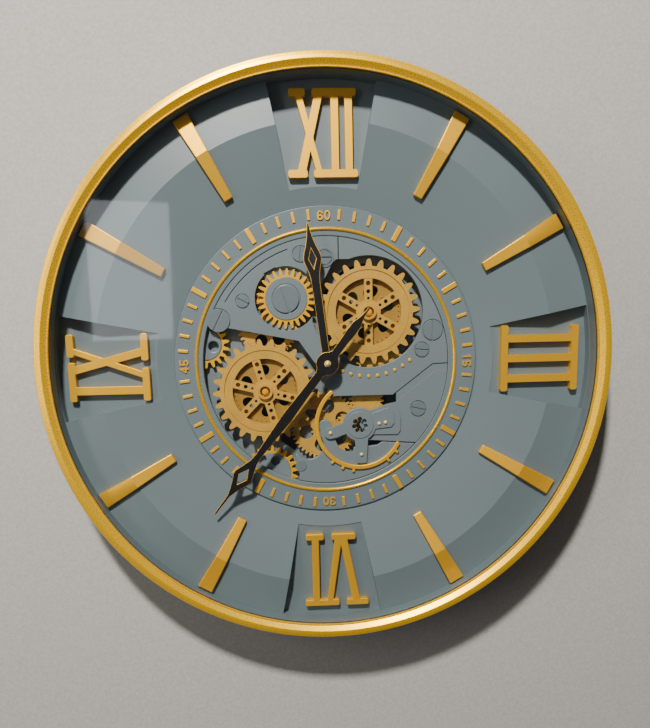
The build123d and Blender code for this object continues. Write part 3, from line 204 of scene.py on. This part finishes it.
def brushed_finish(name, colour):
    """Bare steel with fine upright brush lines."""
    material, shader, place = new_material(name)
    lines = noise(material, place, 400.0, 3.0, stretch=(1.0, 1.0, 0.04))
    link(material, ramp(material, lines, [(0.3, shade(colour, 0.8)), (0.7, shade(colour, 1.15))]),
         shader.inputs["Base Color"])
    shader.inputs["Metallic"].default_value = 1.0
    link(material, remap(material, lines, 0.28, 0.42), shader.inputs["Roughness"])
    bump(material, shader, lines, 0.05 * MM, 0.4)
    return material


def board_finish():
    """Black fibre board with a faint pressed grain."""
    material, shader, place = new_material("back_board")
    fibre = noise(material, place, 260.0, 6.0)
    link(material, ramp(material, fibre, [(0.35, (0.02, 0.019, 0.018)), (0.65, (0.05, 0.048, 0.045))]),
         shader.inputs["Base Color"])
    link(material, remap(material, fibre, 0.6, 0.8), shader.inputs["Roughness"])
    bump(material, shader, fibre, 0.3 * MM, 0.5)
    return material


def cell_finish():
    """Plain green sleeve of a dry cell."""
    material, shader, place = new_material("cell_sleeve")
    fine = noise(material, place, 300.0, 2.0)
    link(material, ramp(material, fine, [(0.3, (0.03, 0.12, 0.07)), (0.7, (0.05, 0.18, 0.1))]),
         shader.inputs["Base Color"])
    link(material, remap(material, fine, 0.25, 0.35), shader.inputs["Roughness"])
    return material


FINISHES = {
    "case_black": finish("case_black", BLACK, 0.1, 0.4, 900.0, 0.05 * MM, 0.25),
    "bezel_gold": finish("bezel_gold", BEZEL_GOLD, 0.55, 0.28, 900.0, 0.01 * MM, 0.04, gloss=0.3),
    "bead_gold": finish("bead_gold", BEZEL_GOLD, 0.6, 0.24, 900.0, 0.003 * MM, 0.03, gloss=0.4),
    "trim_gold": finish("trim_gold", GOLD, 0.58, 0.44, 1100.0, 0.03 * MM, 0.06, gloss=0.2),
    "wheel_gold": wheel_finish("wheel_gold", WHEEL_GOLD),
    # Darker copy of the wheel gold: painted shade on the drive gears' discs, which sit sunk behind the show
    # wheels' spokes
    "recess_shade_gold": wheel_finish("recess_shade_gold", shade(WHEEL_GOLD, 0.6)),
    "pearl_gold": finish("pearl_gold", (1.0, 0.72, 0.30), 0.4, 0.3, 800.0, 0.01 * MM, 0.04),
    "dial_blue": finish("dial_blue", DIAL_BLUE, 0.0, 0.42, 1300.0, 0.03 * MM, 0.05),
    "plate_blue": finish("plate_blue", PLATE_BLUE, 0.05, 0.42, 1300.0, 0.04 * MM, 0.06),
    "screw_blue": finish("screw_blue", PLATE_BLUE, 0.2, 0.36, 1300.0, 0.03 * MM, 0.06),
    "hand_black": hand_finish(),
    "front_glass": glass_finish(),
    "seal_rubber": finish("seal_rubber", (0.02, 0.02, 0.02), 0.0, 0.65, 600.0, 0.1 * MM, 0.2),
    "arbor_steel": brushed_finish("arbor_steel", STEEL),
    "back_board": board_finish(),
    "hanger_steel": brushed_finish("hanger_steel", shade(STEEL, 0.9)),
    "movement_plastic": finish("movement_plastic", (0.025, 0.025, 0.027), 0.0, 0.45, 1500.0, 0.08 * MM, 0.2),
    "switch_plastic": finish("switch_plastic", (0.5, 0.48, 0.45), 0.0, 0.35, 1200.0, 0.03 * MM, 0.06),
    "cell_wrap": cell_finish(),
}


SPECIAL_FINISHES = {
    "chapter_bead": "bead_gold",
    # The drive gears take the darker gold, which is painted shade of the recess behind the spokes
    "upper_drive_gear": "recess_shade_gold",
    "lower_drive_gear": "recess_shade_gold",
}


def paint_nodes():
    """Give each CAD node the finish of its record slot, or its own where one is named above."""
    for entry in frame["record"]["subparts"]:
        node = entry["node"]
        mesh_object = frame["nodes"][node]
        mesh_object.data.materials.clear()
        mesh_object.data.materials.append(FINISHES[SPECIAL_FINISHES.get(node, entry["material_slot"])])


# ---- softened edges -----------------------------------------------------
# Width of the rounding on each node's corners, in millimetres.
EDGE_WIDTHS = {
    "numeral_twelve": 0.9, "numeral_three": 0.9, "numeral_six": 0.9, "numeral_nine": 0.9,
    "hour_bars": 0.8, "minute_marks": 0.35, "minute_numbers": 0.3, "balance_rim": 0.7,
    "balance_cock": 0.5, "upper_left_bridge": 0.6, "right_bridge": 0.6, "lower_right_bridge": 1.0,
    "lower_bridge": 0.6, "chapter_ring": 0.9, "crown_wheel": 0.4, "crown_cap": 0.5, "bridge_screws": 0.35,
    "crown_screw": 0.4, "bridge_studs": 0.5, "balance_pearls": 0.8, "hour_hand": 0.9, "minute_hand": 0.9,
    "hand_cap": 0.6, "upper_show_wheel": 0.45, "lower_show_wheel": 0.45, "upper_drive_gear": 0.2,
    "lower_drive_gear": 0.2, "third_wheel": 0.25, "small_wheel": 0.25, "left_wheel": 0.25,
    "balance_wheel": 0.25, "left_ornament_hub": 2.0, "lower_ornament_hub": 2.0, "left_ornament_teeth": 0.4,
    "lower_ornament_teeth": 0.4, "case_shell": 0.8, "back_panel": 0.4, "hanger_plate": 0.3,
    "clock_battery_door": 0.4, "motor_battery_door": 0.4, "set_knob": 0.4, "slide_switch": 0.3,
}


def soften_edges():
    """Round the corners that catch the light, once the meshes' split corners have been joined."""
    for node, width in EDGE_WIDTHS.items():
        mesh_object = frame["nodes"][node]
        weld = mesh_object.modifiers.new("join_corners", "WELD")
        weld.merge_threshold = JOIN_DISTANCE
        flat = mesh_object.modifiers.new("merge_flat_faces", "DECIMATE")
        flat.decimate_type = "DISSOLVE"
        flat.angle_limit = math.radians(FLAT_ANGLE)
        bevel = mesh_object.modifiers.new("soft_edge", "BEVEL")
        bevel.width = width * MM
        bevel.segments = 2
        bevel.limit_method = "ANGLE"
        bevel.angle_limit = math.radians(EDGE_ANGLE)
        bevel.use_clamp_overlap = True


# ---- stage, lights and camera -------------------------------------------
def add_wall():
    """Pale wall behind the clock. It is clear from behind, so the back of the clock stays in view."""
    signs = ((-1, -1), (1, -1), (1, 1), (-1, 1))
    corners = [(x * WALL_HALF_WIDTH, WALL_GAP, z * WALL_HALF_WIDTH) for x, z in signs]
    mesh = bpy.data.meshes.new("wall")
    mesh.from_pydata(corners, [], [(0, 1, 2, 3)])
    wall = bpy.data.objects.new("wall", mesh)
    bpy.context.collection.objects.link(wall)
    material, shader, place = new_material("wall_paint")
    nodes = material.node_tree.nodes
    grain = noise(material, place, 350.0, 4.0)
    link(material, ramp(material, grain, [(0.3, (0.40, 0.39, 0.375)), (0.7, (0.50, 0.49, 0.475))]),
         shader.inputs["Base Color"])
    shader.inputs["Roughness"].default_value = 0.9
    geometry = nodes.new("ShaderNodeNewGeometry")
    path = nodes.new("ShaderNodeLightPath")
    either = nodes.new("ShaderNodeMath")
    either.operation = "MAXIMUM"
    link(material, geometry.outputs["Backfacing"], either.inputs[0])
    link(material, path.outputs["Is Shadow Ray"], either.inputs[1])
    clear = nodes.new("ShaderNodeBsdfTransparent")
    blend = nodes.new("ShaderNodeMixShader")
    link(material, either.outputs["Value"], blend.inputs[0])
    link(material, shader.outputs["BSDF"], blend.inputs[1])
    link(material, clear.outputs["BSDF"], blend.inputs[2])
    output = next(node for node in nodes if node.type == "OUTPUT_MATERIAL")
    link(material, blend.outputs["Shader"], output.inputs["Surface"])
    mesh.materials.append(material)


WARM = (1.0, 0.95, 0.87)
COOL = (0.93, 0.97, 1.0)
CENTRE = (0.0, -0.04, 0.0)


def add_lamp(name, place, width, height, power, colour):
    """Rectangular lamp turned towards the clock's centre. Sizes in metres, power in watts."""
    data = bpy.data.lights.new(name, "AREA")
    data.shape = "RECTANGLE"
    data.size = width
    data.size_y = height
    data.energy = power
    data.color = colour
    lamp = bpy.data.objects.new(name, data)
    lamp.location = place
    lamp.rotation_euler = (Vector(CENTRE) - Vector(place)).to_track_quat("-Z", "Y").to_euler()
    bpy.context.collection.objects.link(lamp)


def add_lights():
    add_lamp("key", (-0.42, -1.70, 1.55), 0.16, 0.16, 95.0, WARM)
    add_lamp("left_window", (-0.50, -1.60, 0.22), 0.24, 0.4, 0.5, COOL)
    add_lamp("left_strip", (-1.30, -1.25, 0.25), 0.35, 1.2, 8.0, WARM)
    add_lamp("rear_left", (-1.2, 1.4, 1.0), 1.0, 1.0, 30.0, COOL)
    add_lamp("rear_right", (1.4, 1.5, 0.4), 1.0, 1.0, 22.0, WARM)
    world = bpy.data.worlds.new("studio")
    world.use_nodes = True
    background = world.node_tree.nodes["Background"]
    background.inputs["Color"].default_value = (0.80, 0.83, 0.86, 1.0)
    background.inputs["Strength"].default_value = 0.075
    bpy.context.scene.world = world


CAMERA_PLACE = (-0.0421, -0.8373, 0.0326)
CAMERA_PITCH = 10.600
CAMERA_YAW = -2.722
CAMERA_ROLL = -1.261
FOCAL_LENGTH = 36.5
VERTICAL_SHIFT = 0.146


def add_camera():
    """Camera a little left of and above the hand axis, turned from a level view straight at the wall."""
    data = bpy.data.cameras.new("camera")
    data.lens = FOCAL_LENGTH
    data.shift_y = VERTICAL_SHIFT
    camera = bpy.data.objects.new("camera", data)
    roll = Matrix.Rotation(math.radians(CAMERA_ROLL), 3, "Z")
    pitch = Matrix.Rotation(math.radians(CAMERA_PITCH), 3, "X")
    yaw = Matrix.Rotation(math.radians(CAMERA_YAW), 3, "Y")
    level = Matrix(((1, 0, 0), (0, 0, -1), (0, 1, 0)))
    to_view = roll @ pitch @ yaw @ level
    right, down, forward = to_view[0], to_view[1], to_view[2]
    turn = Matrix((right, -down, -forward)).transposed()
    camera.matrix_world = Matrix.Translation(CAMERA_PLACE) @ turn.to_4x4()
    bpy.context.collection.objects.link(camera)
    bpy.context.scene.camera = camera


paint_nodes()
soften_edges()
add_wall()
add_lights()
add_camera()
